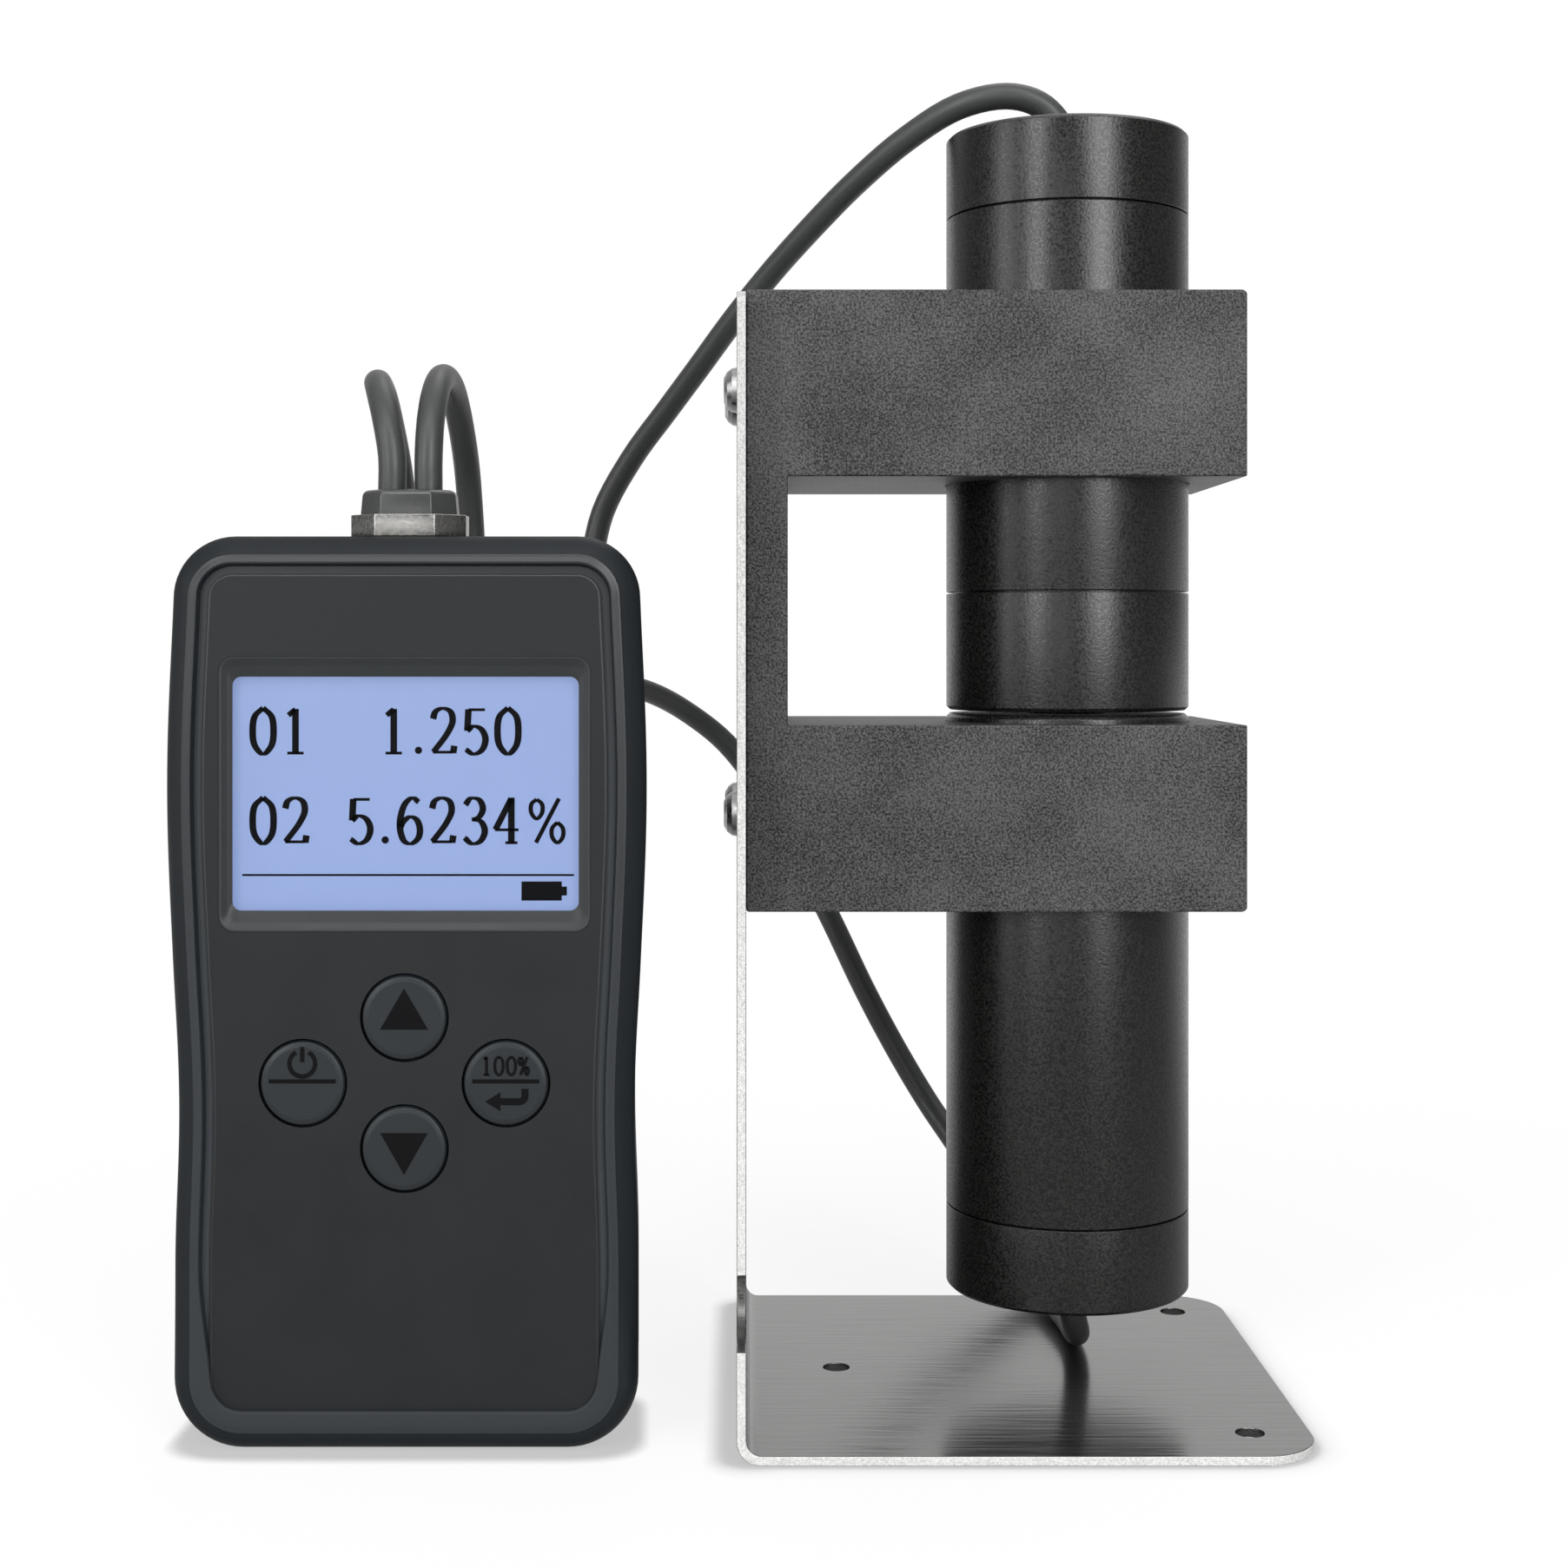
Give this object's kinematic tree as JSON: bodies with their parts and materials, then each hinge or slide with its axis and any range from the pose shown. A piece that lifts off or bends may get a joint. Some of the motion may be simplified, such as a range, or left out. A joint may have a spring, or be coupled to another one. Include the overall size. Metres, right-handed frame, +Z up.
{
  "type": "optical density meter",
  "caption": "Transmission density meter: light source and receiver probes held face to face in a C bracket on a bent sheet stand, wired to a handheld meter with display and keys",
  "frame": {"origin": "On the table, under the common axis of the two probes", "axes": "+Z up along the probes' axis, +X towards the free end of the foot plate, +Y away from the user, behind the display"},
  "size_m": [0.1791, 0.1424, 0.2211],
  "materials": {
    "sheet_steel": "brushed bent sheet",
    "bracket_black": "black blasted and anodised",
    "screw_steel": "plain screws",
    "probe_black": "satin black anodised, turned",
    "window_glass": "clear",
    "diffuser": "opal",
    "circuit": "green board with black parts",
    "gland_rubber": "soft matt",
    "case_plastic": "fine texture",
    "case_rubber": "soft matt",
    "panel_film": "printed film",
    "frame_plastic": "satin",
    "display_blue": "lit liquid crystal display",
    "key_plastic": "satin",
    "switch_plastic": "moulded",
    "cell_jacket": "plain sleeve",
    "contact_metal": "nickel plated",
    "plug_plastic": "moulded",
    "cable_jacket": "soft jacket"
  },
  "bodies": {
    "root": {"stand_plate": "sheet_steel", "probe_bracket": "bracket_black", "bracket_screws": "screw_steel", "clamp_screws": "screw_steel", "lower_barrel": "probe_black", "lower_nose": "probe_black", "lower_window": "diffuser", "lower_window_ring": "probe_black", "lower_baffle": "probe_black", "light_board": "circuit", "lower_board_ring": "probe_black", "lower_cap": "probe_black", "lower_gland": "gland_rubber", "front_cover": "case_plastic", "rear_cover": "case_plastic", "grip_bumper": "case_rubber", "face_panel": "panel_film", "display_bezel": "frame_plastic", "display_window": "window_glass", "display_module": "display_blue", "circuit_board": "circuit", "key_switches": "switch_plastic", "board_screws": "screw_steel", "battery_cells": "cell_jacket", "battery_contacts": "contact_metal", "case_screws": "screw_steel", "cable_socket": "switch_plastic", "cable_plug": "plug_plastic", "upper_probe_cable": "cable_jacket", "lower_probe_cable": "cable_jacket"},
    "upper_probe": {"upper_barrel": "probe_black", "upper_nose": "probe_black", "upper_window": "window_glass", "upper_window_ring": "probe_black", "upper_baffle": "probe_black", "receiver_board": "circuit", "upper_board_ring": "probe_black", "upper_cap": "probe_black", "upper_gland": "gland_rubber"},
    "power_key": {"button_power": "key_plastic"},
    "up_key": {"button_up": "key_plastic"},
    "down_key": {"button_down": "key_plastic"},
    "enter_key": {"button_enter": "key_plastic"},
    "door": {"battery_door": "case_plastic"}
  },
  "joints": [
    {"name": "upper_probe_slide", "type": "slide", "parent": "root", "child": "upper_probe", "axis": [0, 0, 1], "range_m": [0, 0.025], "deforming": ["upper_probe_cable"]},
    {"name": "power_key_press", "type": "slide", "parent": "root", "child": "power_key", "axis": [0, 1, 0], "range_m": [0, 0.0006], "stiffness_N_per_m": 3000},
    {"name": "up_key_press", "type": "slide", "parent": "root", "child": "up_key", "axis": [0, 1, 0], "range_m": [0, 0.0006], "stiffness_N_per_m": 3000},
    {"name": "down_key_press", "type": "slide", "parent": "root", "child": "down_key", "axis": [0, 1, 0], "range_m": [0, 0.0006], "stiffness_N_per_m": 3000},
    {"name": "enter_key_press", "type": "slide", "parent": "root", "child": "enter_key", "axis": [0, 1, 0], "range_m": [0, 0.0006], "stiffness_N_per_m": 3000},
    {"name": "battery_door_hinge", "type": "hinge", "parent": "root", "child": "door", "pos_m": [-0.1078, -0.0145, 0.0109], "axis": [-1, 0, 0], "range_deg": [0, 75]}
  ]
}
